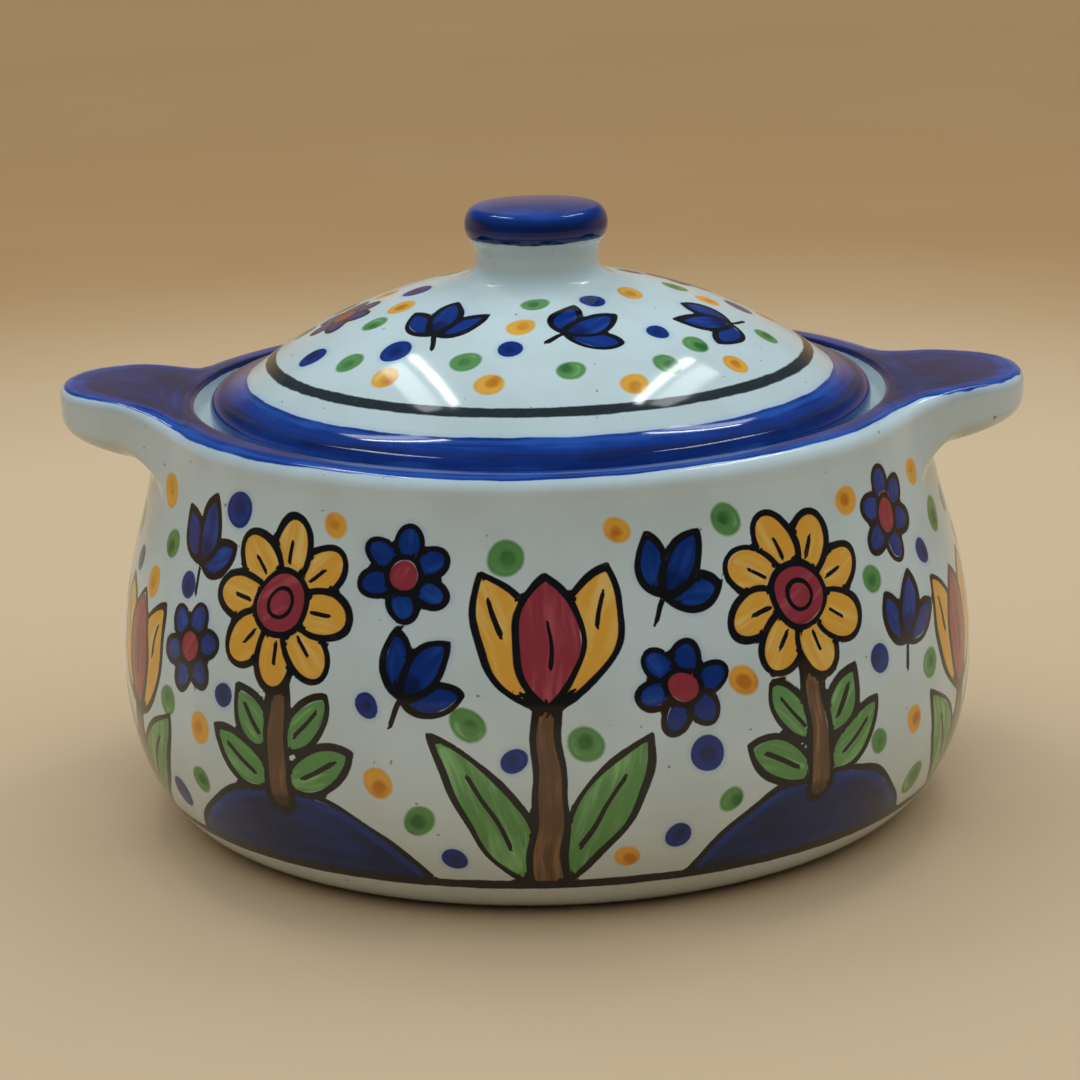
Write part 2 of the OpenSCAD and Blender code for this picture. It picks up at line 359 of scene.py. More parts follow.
def map_turned(piece, points, along, wall_from, wall_to, first_disc, last_disc):
    """Lays a turned piece out flat: its outline's two ends as discs, the wall between as four tiles."""
    corner, face, first, count = face_corners(piece.data)
    turn = np.arctan2(points[:, 1], points[:, 0])[corner]
    walked = along[corner]
    middle = (np.add.reduceat(walked, first) / count)[face]
    heading = (np.angle(np.add.reduceat(np.exp(1j * turn), first)) % TURN)[face]
    quarter = np.minimum(np.floor(heading / (math.pi / 2)), 3)
    side = heading + np.angle(np.exp(1j * (turn - heading))) - quarter * math.pi / 2
    across = tile_pad + (1 - 2 * tile_pad) * side / (math.pi / 2)
    up = tile_pad + (1 - 2 * tile_pad) * (walked - wall_from) / max(wall_to - wall_from, 1e-6)
    flat = np.column_stack([(quarter % 2 + across) * tile_w, (quarter // 2 + up) * tile_h])
    spoke = np.column_stack([np.cos(turn), np.sin(turn)])
    for disc, part, reach in (
        (first_disc, middle < wall_from, walked / wall_from),
        (last_disc, middle > wall_to, (along[-1] - walked) / (along[-1] - wall_to)),
    ):
        flat[part] = (disc[0], disc[1]) + (disc[2] * reach[:, None] * spoke)[part]
    store_map(piece, flat)


# Lug handles: the rim, the wall and a flat lug joined with round fillets, as one smooth surface. Sections
# fan out from a pivot, and in each of them rays run to that surface from the heart, a line in the rim.
lug_pivot_x = 70.0
lug_fan = math.radians(75)
lug_sections = 150
lug_rays = 420
lug_rows = 90
lug_heart_r = 82.0
lug_heart_z = 89.5
lug_lowest = math.radians(-62)
ray_limit = 60.0
ray_halvings = 40
lug_proud = 0.03
skirt_dip = 0.12


def round_join(a, b, r):
    """Distance to the union of two shapes, with a fillet of radius r where they meet."""
    return np.maximum(r, np.minimum(a, b)) - np.hypot(np.maximum(r - a, 0), np.maximum(r - b, 0))


def round_cut(a, b, r):
    """Distance to what two shapes share, with its edge rounded to radius r."""
    return np.minimum(-r, np.maximum(a, b)) + np.hypot(np.maximum(a + r, 0), np.maximum(b + r, 0))


def oval_distance(a, b, long, wide, power=2.0):
    """About the distance to an oval, from a place a, b off its middle. A higher power makes it squarer."""
    a, b = np.abs(a) / long, np.abs(b) / wide
    size = np.maximum((a ** power + b ** power) ** (1 / power), 1e-6)
    slope = np.hypot(a ** (power - 1) / long, b ** (power - 1) / wide) / size ** (power - 1)
    return (size - 1) / np.maximum(slope, 1e-6)


def lug_plan(x, y, lug):
    """Distance to the lug's outline, seen from above."""
    end_x = lug_tip_x + lug["reach"] - lug_end
    return oval_distance(np.maximum(1e-3, x - end_x), y, lug_end, lug_w / 2, lug_square)


def lug_top(x, lug):
    """Height of the lug's top, which rises softly out of the rim and levels out towards the tip."""
    rise = np.hypot(np.maximum(x - lug_start_r, 0), lug_soft) - lug_soft
    share = np.clip(rise / (math.hypot(lug_tip_x - lug_start_r, lug_soft) - lug_soft), 0, 1)
    share = share * (1 + lug_level) / (share + lug_level)
    return rim_z + (lug_tip_z + lug["lift"] - rim_z) * np.sin(share * math.pi / 2)


def beyond_rim(x, plan, reach, near):
    """0 on the rim, and 1 from reach past it where the lug's outline is near or round the place."""
    return smooth_step(x, crown_r + 1, rim_r + reach) * (1 - smooth_step(plan, near, near + 10))


def lug_distance(x, y, z, lug):
    r = np.hypot(x, y)
    plan = lug_plan(x, y, lug)
    root = np.clip((lug_tip_x - x) / (lug_tip_x - rim_r), 0, 1)
    thickness = lug_tip_t + lug["thicker"] + (lug_root_t - lug_tip_t) * root
    under = lug_tip_z + lug["lift"] - thickness - z
    fillet = lug_fillet_r + (lug_flare_r - lug_fillet_r) * smooth_step(plan - under, -4, 6)
    joint = round_join(r - pot_radius(z), round_cut(plan, under, lug_under_round), fillet)
    beyond = beyond_rim(x, plan, 7, 1)
    edge_w = rim_round_w + (lug_edge_round - rim_round_w) * beyond
    edge_h = rim_round_h + (lug_edge_round - rim_round_h) * beyond
    return round_cut(joint, (z - lug_top(x, lug)) * edge_w / edge_h, edge_w)


def lug_mesh(lug):
    """Points and faces of a lug on the right: a skin with a skirt on the wall, and a back hidden in it."""
    fan = np.linspace(-lug_fan, lug_fan, lug_sections)[:, None]
    across, ahead = np.sin(fan), np.cos(fan)
    start = -lug_pivot_x * ahead + np.sqrt(lug_heart_r ** 2 - (lug_pivot_x * across) ** 2)
    # The lowest ray falls as steeply from the axis in each section, so that the back stays in the wall
    outwards = (lug_pivot_x * ahead + start) / lug_heart_r
    lowest = np.arctan(math.tan(lug_lowest) * outwards)
    tilt = math.pi / 2 + (lowest - math.pi / 2) * np.linspace(0, 1, lug_rays)

    def at(reach):
        s = start + reach * np.cos(tilt)
        return lug_pivot_x + s * ahead, s * across, lug_heart_z + reach * np.sin(tilt)

    low = np.zeros((lug_sections, lug_rays))
    high = np.full((lug_sections, lug_rays), ray_limit)
    for _ in range(ray_halvings):
        middle = (low + high) / 2
        inside = lug_distance(*at(middle), lug) < 0
        low = np.where(inside, middle, low)
        high = np.where(inside, high, middle)
    # A hair proud of the bowl, except at the skirt's edge, which dips under the bowl's surface
    edge = np.minimum(np.arange(lug_sections), np.arange(lug_sections)[::-1])[:, None]
    end = np.minimum(np.arange(lug_rays), np.arange(lug_rays)[::-1])[None, :] * lug_rows / lug_rays
    proud = -skirt_dip + (lug_proud + skirt_dip) * smooth_step(np.minimum(edge, end), 0, 4)
    surface = np.stack(at(low + proud), axis=-1)
    skin = np.array([in_steps(section, lug_rows) for section in surface])
    grid = np.arange(lug_sections * lug_rows).reshape(lug_sections, lug_rows)
    hearts = np.stack(at(0.0), axis=-1)[:, 0]
    heart = grid.size + np.arange(lug_sections)
    sheet = np.column_stack([heart, grid, heart])
    faces = [
        (sheet[i, j + 1], sheet[i + 1, j + 1], sheet[i + 1, j], sheet[i, j])
        for i in range(lug_sections - 1) for j in range(lug_rows + 1)
    ]
    faces += [(heart[0], grid[0, j + 1], grid[0, j]) for j in range(lug_rows - 1)]
    faces += [(heart[-1], grid[-1, j], grid[-1, j + 1]) for j in range(lug_rows - 1)]
    return np.vstack([skin.reshape(-1, 3), hearts]), [tuple(int(v) for v in face) for face in faces]


def map_lug(piece):
    """Lays a lug out flat as a sheet, with the faces hidden in the wall in a strip beside it."""
    sheet = 0.94
    strip_from = sheet + 0.02
    strip_h = 0.03
    corner, face, first, _ = face_corners(piece.data)
    row = sheet * (corner % lug_rows) / (lug_rows - 1)
    skin = np.column_stack([corner // lug_rows / (lug_sections - 1), row])
    hidden = np.maximum.reduceat(corner, first) >= lug_sections * lug_rows
    cell = (np.cumsum(hidden) - 1)[face]
    turn = np.arange(len(corner)) - first[face]
    right = (turn == 1) | (turn == 2)
    strip_x = (cell + 0.1 + 0.8 * right) / np.sum(hidden)
    strip = np.column_stack([strip_x, strip_from + strip_h * (turn > 1)])
    store_map(piece, np.where(hidden[face][:, None], strip, skin))


# Lid and knob outlines
dome_r = lid_r - flange_w
flange_top_z = seat_z + flange_t
dome_z = flange_top_z + cove_h
ball_r = (dome_r ** 2 + dome_rise ** 2) / (2 * dome_rise)
ball_z = dome_z + dome_rise - ball_r
dome_slope = math.asin(dome_r / ball_r)
cove_guide = 5.0
cove_fall = math.radians(10)
under_knob = knob_base_r - 3.0
head_z = knob_top_z - head_t - head_crown


def dome_height(r):
    return ball_z + np.sqrt(ball_r ** 2 - r * r)


def dome_line(r_from, r_to, ball=ball_r, steps=90):
    slope = np.linspace(math.asin(r_from / ball), math.asin(r_to / ball), steps)
    return np.column_stack([ball * np.sin(slope), ball_z + ball * np.cos(slope)])


def flange_outline():
    """From the dome's edge down the cove and round the flange to its flat underside."""
    cove, _ = bend([
        (dome_r, dome_z),
        (dome_r + cove_guide * math.cos(dome_slope), dome_z - cove_guide * math.sin(dome_slope)),
        (lid_r - flange_round - cove_guide, flange_top_z + cove_guide * math.tan(cove_fall)),
        (lid_r - flange_round, flange_top_z),
    ])
    edge = arc((lid_r - flange_round, seat_z + flange_t / 2), flange_round, flange_t / 2, 90, 0)
    low_centre = (lid_r - flange_under_round, seat_z + flange_under_round)
    low_edge = round_arc(low_centre, flange_under_round, 0, -90)
    upright = [edge[-1], low_edge[0]]
    flat = [low_edge[-1], (lid_r - flange_flat, seat_z)]
    return spaced((cove, 0.75), (edge, 0.55), (upright, 0.6), (low_edge, 0.45), (flat, 1.0))


def lid_inside_outline():
    inner_r = ball_r - lid_t
    edge_r = dome_r - lid_t / 2
    slope = math.asin(edge_r / inner_r)
    dome = dome_line(edge_r, 0, inner_r, 60)
    cove, _ = bend([
        (lid_r - flange_flat, seat_z),
        (lid_r - flange_flat, seat_z + flange_t / 2),
        dome[0] + cove_guide * np.array([math.cos(slope), -math.sin(slope)]),
        dome[0],
    ])
    return evenly(joined(cove, dome), 2.5)


def knob_outline():
    """From a skirt on the dome up the neck, and from there over the head's edge."""
    skirt_r = knob_base_r + 2.5
    root_r = knob_base_r - 0.6
    flare, _ = bend([
        (skirt_r, dome_height(skirt_r) - 0.05),
        (root_r, dome_height(root_r) + 0.15),
        (neck_r, knob_z + neck_flare_h * 0.45),
        (neck_r, knob_z + neck_flare_h),
    ])
    edge_centre = (head_r - head_round, head_z + head_t / 2)
    under = -math.degrees(math.acos(np.clip((neck_r - edge_centre[0]) / head_round, -1, 1)))
    edge = arc(edge_centre, head_round, head_t / 2, under + 14, 90, 60)
    throat, _ = bend([flare[-1], flare[-1] + (0, 2.2), edge[0] - (0.5, 1.0), edge[0]])
    return spaced((flare, 0.5), (throat, 0.5)), evenly(edge, 0.45)


def knob_crown(r_from, r_to):
    edge_r = head_r - head_round
    r = np.linspace(r_from, r_to, 40)
    return evenly(np.column_stack([r, head_z + head_t + head_crown * (1 - (r / edge_r) ** 2)]), 0.8)


# Painting
FAR = 8.0
PAINTS = ("yellow", "green", "red", "brown", "blue")
UP = math.pi / 2
NOWHERE = -1e3
ink_w = 1.6
brush_long = 15.0
brush_hair = 1.6
mound_hair = 4.0
dot_hair = 5.0
brush_over = 1.2


def within(distance):
    return np.clip(distance, -FAR, FAR)


def nearer(first, second):
    """Of two distances with a sign, the one that is nearer to zero."""
    return np.where(np.abs(first) < np.abs(second), first, second)


class Painting:
    """For each vertex, how far it is from the edge of each paint, negative where the paint is.

    A vertex has an angle round the axis, the radius there and a height along the surface. edge is the place
    across the nearest outline and trace the place across the nearest thin line. Both lines cover -1 to 1.
    brush is a place in the brush's strokes.
    """

    def __init__(self, angle, radius, height):
        self.angle = angle
        self.radius = radius
        self.height = height
        self.layers = {paint: np.full(angle.shape, FAR) for paint in PAINTS}
        self.edge, self.trace, self.pool = np.full((3, len(angle)), FAR)
        self.brush = np.zeros((len(angle), 3))
        self.shapes = 0

    def free(self, spot):
        """Distance from a vertex to the nearest paint."""
        ink = min(abs(self.edge[spot]), abs(self.trace[spot])) * ink_w / 2
        return min(ink, *(layer[spot] for layer in self.layers.values()))

    def band(self, distance, pool, strokes):
        """Paints a broad blue band without an ink line, which is darker where pool is below zero."""
        there = distance < brush_over
        self.layers["blue"] = np.minimum(self.layers["blue"], distance)
        self.pool = np.where(there, within(pool), self.pool)
        self.brush[there] = strokes[there]


class Patch:
    """The vertices near one motif, in the motif's own millimetres, bent a little as by an unsteady hand."""

    def __init__(self, painting, angle, height, reach, turn=0.0, size=1.0):
        x = np.angle(np.exp(1j * (painting.angle - angle))) * painting.radius
        y = painting.height - height
        self.near = np.nonzero(np.hypot(x, y) < reach * size + 2 * FAR)[0]
        self.painting = painting
        self.size = size
        x, y = x[self.near] / size, y[self.near] / size
        x, y = x * math.cos(turn) + y * math.sin(turn), y * math.cos(turn) - x * math.sin(turn)
        phase = chance.uniform(0, TURN, 8)
        self.x = x + 0.5 * np.sin(y / 5.5 + phase[0]) + 0.22 * np.sin(y / 2.1 + phase[1])
        self.y = y + 0.5 * np.sin(x / 6.0 + phase[2]) + 0.22 * np.sin(x / 2.4 + phase[3])
        self.press = 1 + 0.24 * np.sin(x / 6.3 + phase[4]) * np.sin(y / 5.2 + phase[5])
        self.loose = 0.42 * np.sin(x / 2.9 + phase[6]) + 0.42 * np.sin(y / 3.3 + phase[7])

    def fill(self, paint, shape, grain=0.0, line=ink_w, hair=brush_hair):
        """Paints a shape over what is there, with strokes along grain and an ink line round it."""
        painting, near = self.painting, self.near
        shape = within(shape * self.size)
        edge = within(shape + (self.loose if line else 0.2 * self.loose))
        for layer in painting.layers.values():
            layer[near] = np.maximum(layer[near], -edge)
        painting.layers[paint][near] = np.minimum(painting.layers[paint][near], edge)
        painting.shapes += 1
        u = self.x * math.cos(grain) + self.y * math.sin(grain)
        w = self.y * math.cos(grain) - self.x * math.sin(grain)
        strokes = np.column_stack([u / brush_long, np.full(len(near), 7.3 * painting.shapes), w / hair])
        covered = shape < brush_over
        painting.brush[near[covered]] = strokes[covered]
        if line:
            inside = shape < 0
            outline = within(2 * shape / (line * self.press))
            painting.edge[near] = np.where(inside, outline, nearer(outline, painting.edge[near]))
            painting.trace[near] = np.where(inside, FAR, painting.trace[near])

    def lay(self, trace):
        """Adds a thin ink line to those that are there."""
        painting, near = self.painting, self.near
        painting.trace[near] = nearer(within(trace), painting.trace[near])

    def line(self, points, start_w, end_w):
        """Draws an ink line through points."""
        gap, side, width = self.beside(points, start_w, end_w)
        self.lay(2 * self.size * gap * side / (width * self.press))

    def ring(self, x, y, r, width):
        """Draws an ink circle."""
        self.lay(2 * self.size * self.disc(x, y, r) / (width * self.press))

    def stroke(self, points, start_w, end_w):
        """The shape of a brush stroke through points, as wide as given at its two ends."""
        gap, _, width = self.beside(points, start_w, end_w)
        return gap - width / 2

    def beside(self, points, start_w, end_w):
        """Distance to a line of points, on which side of it, and the line's width there."""
        points = np.asarray(points, float)
        gap = np.full(self.x.shape, np.inf)
        side = np.ones(self.x.shape)
        width = np.ones(self.x.shape)
        for k, (base, tip) in enumerate(zip(points, points[1:])):
            way = tip - base
            dx, dy = self.x - base[0], self.y - base[1]
            share = np.clip((dx * way[0] + dy * way[1]) / (way @ way), 0, 1)
            here = np.hypot(dx - share * way[0], dy - share * way[1])
            closer = here < gap
            gap = np.where(closer, here, gap)
            side = np.where(closer, np.where(way[0] * dy < way[1] * dx, -1, 1), side)
            width = np.where(closer, start_w + (end_w - start_w) * (k + share) / (len(points) - 1), width)
        return gap, side, width

    def pool(self, spot):
        """Where the paint stands thicker and dries darker."""
        pool = self.painting.pool
        pool[self.near] = np.minimum(pool[self.near], spot * self.size)

    def disc(self, x, y, r):
        return np.hypot(self.x - x, self.y - y) - r

    def turned(self, x, y, turn):
        along = (self.x - x) * math.cos(turn) + (self.y - y) * math.sin(turn)
        across = (self.y - y) * math.cos(turn) - (self.x - x) * math.sin(turn)
        return along, across

    def oval(self, x, y, long, wide, turn=0.0):
        return oval_distance(*self.turned(x, y, turn), long, wide)

    def leaf(self, x, y, length, width, turn, bow=0.0):
        """A leaf with two pointed ends, from its stalk at x, y. A bow bends its far end to the left."""
        along, across = self.turned(x, y, turn)
        across = across - bow * length * np.clip(along / length, 0, 1.2) ** 2
        ball = (length ** 2 / 4 + width ** 2 / 4) / width
        return np.hypot(along - length / 2, np.abs(across) + ball - width / 2) - ball

    def veined_leaf(self, paint, x, y, length, width, turn, bow=0.0):
        self.fill(paint, self.leaf(x, y, length, width, turn, bow), turn)
        cos, sin = math.cos(turn), math.sin(turn)
        vein = [(share * length, bow * length * share ** 2) for share in (0.3, 0.52, 0.74)]
        self.line([(x + a * cos - b * sin, y + a * sin + b * cos) for a, b in vein], 1.25, 1.0)


def spread(size):
    return chance.uniform(-size, size)


def on_circle(x, y, r, turn):
    return x + r * math.cos(turn), y + r * math.sin(turn)


def tulip(painting, angle, ground, stem):
    """A cup of three petals on a brown stem between two long leaves."""
    p = Patch(painting, angle, ground, stem + 40, spread(0.05))
    lean = spread(2)
    for side in (-1, 1):
        turn = UP - side * (0.36 + spread(0.05))
        p.veined_leaf("green", side * 3, 0, 0.5 * stem + 18 + spread(2), 12.5, turn, -side * 0.2)
    p.fill("brown", p.stroke([(0, -4), (lean / 2, stem / 2), (lean, stem)], 8.4, 4.4), UP)
    cup = stem - 5
    for side in (-1, 1):
        turn = UP - side * 0.46
        p.fill("yellow", p.leaf(lean + side * 1.5, cup, 31, 14, turn, side * 0.06), turn)
        p.line([(lean + side * 10.4, cup + 16), (lean + side * 12.2, cup + 23)], 1.2, 1.0)
    p.fill("red", p.leaf(lean, cup, 28, 14.6, UP), UP)
    p.line([(lean + 0.5, cup + 9), (lean, cup + 18)], 1.3, 0.9)
    for side in (-1, 1):
        p.line([(lean + side * 1.6, cup + 0.2), (lean + side * 5.4, cup + 3.1)], 2.4, 1.0)


def bloom(painting, angle, ground, stem):
    """A round flower on a brown stem with leaves, standing on a blue mound."""
    p = Patch(painting, angle, ground, stem + 60, spread(0.05))
    mound_h = 21.0
    two_pairs_stem = 20.0
    mound = p.oval(spread(1.5), -12, 34 + spread(2), 12 + mound_h)
    p.fill("blue", mound, 0.08, hair=mound_hair)
    p.pool(mound + 2.5)
    lean = spread(2.5)
    middle = mound_h + stem + 13
    for low, length, width, open_turn in ((mound_h, 20, 9.5, 1.12), (mound_h + 0.3 * stem, 17, 8.5, 0.8)):
        for side in (-1, 1):
            turn = UP - side * (open_turn + spread(0.08))
            # A short stem has room for the lower pair only
            if low == mound_h or stem > two_pairs_stem:
                p.veined_leaf("green", side * 1.5, low, length, width, turn, side * 0.12)
    stalk = [(0, mound_h - 3), (lean / 2, mound_h + stem / 2), (lean, middle)]
    p.fill("brown", p.stroke(stalk, 6.4, 4.6), UP)
    petals = 8
    first = chance.uniform(0, 1)
    for k in range(petals):
        turn = first + k * TURN / petals + spread(0.04)
        p.fill("yellow", p.oval(*on_circle(lean, middle, 11.4 + spread(0.5), turn), 7.4, 5.0, turn), turn)
        p.line([on_circle(lean, middle, 9.0, turn), on_circle(lean, middle, 13.0, turn)], 1.1, 0.9)
    p.fill("red", p.disc(lean, middle, 7.0), 0.4)
    p.ring(lean, middle, 3.2, 1.2)


def sprig(painting, angle, height, turn, size=1.0):
    """Three blue leaflets on a short stalk."""
    p = Patch(painting, angle, height, 16, turn, size)
    p.line([(1.5, -10), (0.4, -6), (0, -3)], 1.3, 1.2)
    for side in (-1, 1):
        open_turn = UP - side * 0.95
        p.fill("blue", p.leaf(side * 0.5, -4, 13, 6.8, open_turn, side * 0.14), open_turn)
    p.fill("blue", p.leaf(0, -4, 15.5, 7.4, UP), UP)
    p.pool(p.disc(0, -1, 3.0))


def daisy(painting, angle, height, size=1.0):
    """A small blue flower with a red heart."""
    p = Patch(painting, angle, height, 12, chance.uniform(0, 1), size)
    petals = 6
    for k in range(petals):
        turn = k * TURN / petals + spread(0.06)
        p.fill("blue", p.oval(*on_circle(0, 0, 6.3, turn), 4.1, 3.0, turn), turn, 1.35)
    p.fill("red", p.disc(0, 0, 3.9), 0.6, 1.3)


def scatter_dots(painting, choices, sizes, clear, count, apart):
    """Dots of watery paint in the free places, each darker somewhere near its middle."""
    placed, used = [], []
    for spot in chance.permutation(choices):
        r = chance.uniform(*sizes)
        if painting.free(spot) < r + clear:
            continue
        angle, away, height = painting.angle[spot], painting.radius[spot], painting.height[spot]
        place = np.array([away * math.cos(angle), away * math.sin(angle), height])
        gaps = np.linalg.norm(np.array(placed) - place, axis=1) if placed else np.array([np.inf])
        if gaps.min() < apart:
            continue
        nearby = [used[k] for k in np.argsort(gaps)[:2] if placed]
        paints = [paint for paint in ("yellow", "green", "blue") if paint not in nearby]
        used.append(chance.choice(paints))
        placed.append(place)
        p = Patch(painting, angle, height, 6)
        dot = p.oval(0, 0, r, r * chance.uniform(0.88, 1.0), chance.uniform(0, 3))
        p.fill(used[-1], dot, chance.uniform(0, 3), line=0, hair=dot_hair)
        p.pool(p.disc(*chance.normal(0, 0.5, 2), 0.5 * r))
        if len(placed) == count:
            break


# Pieces of the pot
bowl_points, bowl_faces, bowl_along = revolve([
    (foot_outline(), 320),
    (joined(evenly(outside, 1.05), rim_outline())[1:], 640),
    (seat_outline()[1:], 320),
    (inside_outline()[1:], 160),
])
right_points, right_faces = lug_mesh(RIGHT_LUG)
left_points, left_faces = lug_mesh(LEFT_LUG)
left_points = left_points * (-1, -1, 1)
POT_SWAY = {"size": 1.0, "phase": 0.7, "lift": 1.0}
bowl = make_piece(swayed(bowl_points, **POT_SWAY), bowl_faces, "pot", "bowl")
right_lug = make_piece(swayed(right_points, **POT_SWAY), right_faces, "pot", "right_handle")
left_lug = make_piece(swayed(left_points, **POT_SWAY), left_faces, "pot", "left_handle")
foot_along = lengths(foot_outline())[-1]
rim_along = foot_along + outside_height[-1] + lengths(rim_outline())[-1]
map_turned(bowl, bowl_points, bowl_along, foot_along, rim_along, FOOT_DISC, INSIDE_DISC)
map_lug(right_lug)
map_lug(left_lug)

# Pieces of the lid
dome_mid_r = 34.0
hidden_z = dome_height(under_knob) - 1.0
hidden_top = [(0, hidden_z), (under_knob, hidden_z)]
lid_points, lid_faces, lid_along = revolve([
    (hidden_top, 150),
    (evenly(dome_line(under_knob, dome_mid_r), 0.85), 300),
    (joined(evenly(dome_line(dome_mid_r, dome_r), 0.8), flange_outline())[1:], 600),
    (lid_inside_outline()[1:], 300),
])
lid_faces = [face[::-1] for face in lid_faces]
knob_neck, knob_edge = knob_outline()
knob_side = joined(knob_neck, knob_edge)
knob_foot = [(0, knob_z - 2.0), knob_side[0] - (1.0, 1.0)]
knob_points, knob_faces, knob_along = revolve([
    (knob_foot, 120),
    (knob_side, 240),
    (knob_crown(head_r - head_round, 8)[1:], 120),
    (knob_crown(8, 3)[1:], 60),
    (knob_crown(3, 0)[1:], 30),
])
LID_SWAY = {"size": 0.8, "phase": 2.3, "lift": 0.0}
lid = make_piece(swayed(lid_points, **LID_SWAY), lid_faces, "cover", "lid")
knob = make_piece(swayed(knob_points, **LID_SWAY), knob_faces, "cover", "knob")
lid_split = lid_along[-1] - lengths(lid_inside_outline())[-1]
map_turned(lid, lid_points, lid_along, lid_split, lid_split, LARGE_DISC, SMALL_DISC)
knob_split = math.dist(*knob_foot)
knob_neck_along = knob_split + math.dist(knob_foot[1], knob_side[0]) + lengths(knob_neck)[-1]
map_turned(knob, knob_points, knob_along, knob_split, knob_split, SMALL_DISC, LARGE_DISC)

# Painting of the pot
front = -UP
base_line_z = 9.3
base_line_w = 3.0
ground = float(np.interp(base_line_z, outside[:, 1], outside_height))
pot_points = np.vstack([bowl_points, right_points, left_points])
pot_x, pot_y, pot_z = pot_points.T
pot_angle = np.arctan2(pot_y, pot_x)
pot_r = np.hypot(pot_x, pot_y)
on_wall = (np.abs(pot_r - pot_radius(pot_z)) < 1.0) & (pot_z < rim_z - shoulder_drop)
pot_height = np.where(on_wall, np.interp(pot_z, outside[:, 1], outside_height), NOWHERE)
pot_painting = Painting(pot_angle, np.maximum(pot_r, 1.0), pot_height)

# Tall plants, and short ones near the lugs, with two small motifs between them, one above the other
plants = 10
step = TURN / plants
near_lug = math.sin(math.radians(30))
at_lug = 0.2
BLOOM_STEMS = (12.0, 27.0)
TULIP_STEMS = (30.0, 48.0)
MOTIF_HEIGHTS = (46, 70)
LUG_MOTIF_HEIGHTS = (38, 56)
for k in range(plants):
    angle = front + k * step + spread(0.02)
    tall = abs(math.sin(angle)) >= near_lug
    if k % 2:
        bloom(pot_painting, angle, ground, BLOOM_STEMS[tall])
    else:
        tulip(pot_painting, angle, ground, TULIP_STEMS[tall])
for k in range(plants):
    between = front + (k + 0.5) * step
    low, high = LUG_MOTIF_HEIGHTS if abs(math.sin(between)) < at_lug else MOTIF_HEIGHTS
    sprig_height, daisy_height = (low, high) if k % 2 else (high, low)
    sprig(pot_painting, between + spread(0.03), ground + sprig_height + spread(2), spread(0.8))
    daisy(pot_painting, between + spread(0.03), ground + daisy_height + spread(2))

# Dots on the rest of the wall, but not on or close under the lugs
lug_span = 36.0
lug_low_z = 74.0
under_lug = (np.abs(pot_y) < lug_span) & (pot_z > lug_low_z)
dots_low_z = base_line_z + 6.0
dots_high_z = rim_z - 10.5
is_bowl = np.arange(len(pot_z)) < len(bowl_points)
dotted = on_wall & is_bowl & ~under_lug & (pot_z > dots_low_z) & (pot_z < dots_high_z)
scatter_dots(pot_painting, np.nonzero(dotted)[0], sizes=(2.9, 4.2), clear=1.5, count=140, apart=12.0)

# The base line, and nothing painted below it
base_edge = within(2 * (pot_height - ground) / base_line_w)
below = pot_height < ground
pot_painting.edge = np.where(below, base_edge, nearer(base_edge, pot_painting.edge))
pot_painting.trace[below] = FAR
for layer in pot_painting.layers.values():
    np.maximum(layer, within(ground - pot_height), out=layer)

# Blue on the rim and the tops of the lugs. It ends a little in from the outline, further in on the rim than
# on the lugs, and it is broader on the left of the rim.
rim_inset = 2.1
rim_lean = 0.9
rim_depth = 1.0
lug_inset = 0.7
flare_depth = 4.0
lug_depth = 1.5
band_long = 20.0
band_hair = 1.4
lug_hair = 2.6
band_edge = 5.0


def waves(angle, *parts):
    """A slow wander, as of a hand that follows an edge: pairs of size and number of waves round the pot."""
    return sum(size * np.sin(count * angle + 1.7 * k) for k, (size, count) in enumerate(parts))


on_left = pot_x < 0
lug_x = np.abs(pot_x)
top_z = np.where(on_left, lug_top(lug_x, LEFT_LUG), lug_top(lug_x, RIGHT_LUG))
plan = np.where(on_left, lug_plan(lug_x, pot_y, LEFT_LUG), lug_plan(lug_x, pot_y, RIGHT_LUG))
outline = round_join(pot_r - rim_r, plan, lug_flare_r)
out_on_lug = beyond_rim(lug_x, plan, 4, 2)
rim_wander = waves(pot_angle, (0.16, 7), (0.1, 19), (0.06, 43)) - rim_lean * np.cos(pot_angle)
lug_wander = waves(pot_y / 20 + pot_x / 17, (0.15, 3), (0.12, 8), (0.08, 17))
wander = rim_wander + (lug_wander - rim_wander) * out_on_lug
inset = rim_inset + (lug_inset - rim_inset) * out_on_lug
outer_depth = flare_depth + (lug_depth - flare_depth) * smooth_step(lug_x, rim_r, rim_r + 8)
depth = np.where(pot_r < crown_r, rim_depth, outer_depth)
inward = outline + inset - wander
pot_blue = within(np.maximum(inward, top_z - depth - pot_z))
pot_thin = smooth_step(inward, -2.4, -1.0) * (pot_blue < 1)
on_lug = pot_r > rim_r
rim_strokes = np.column_stack([pot_x / band_long, pot_y / band_long, pot_r / band_hair])
lug_strokes = np.column_stack([pot_x / band_long, np.zeros(len(pot_x)), pot_y / lug_hair])
pot_painting.band(pot_blue, inward + band_edge, np.where(on_lug[:, None], lug_strokes, rim_strokes))

# No glaze where the foot ring stands
bare_h = 0.25
bare_r = foot_r - foot_w - 0.8
bare_foot = within(np.maximum(pot_z - bare_h, bare_r - pot_r))

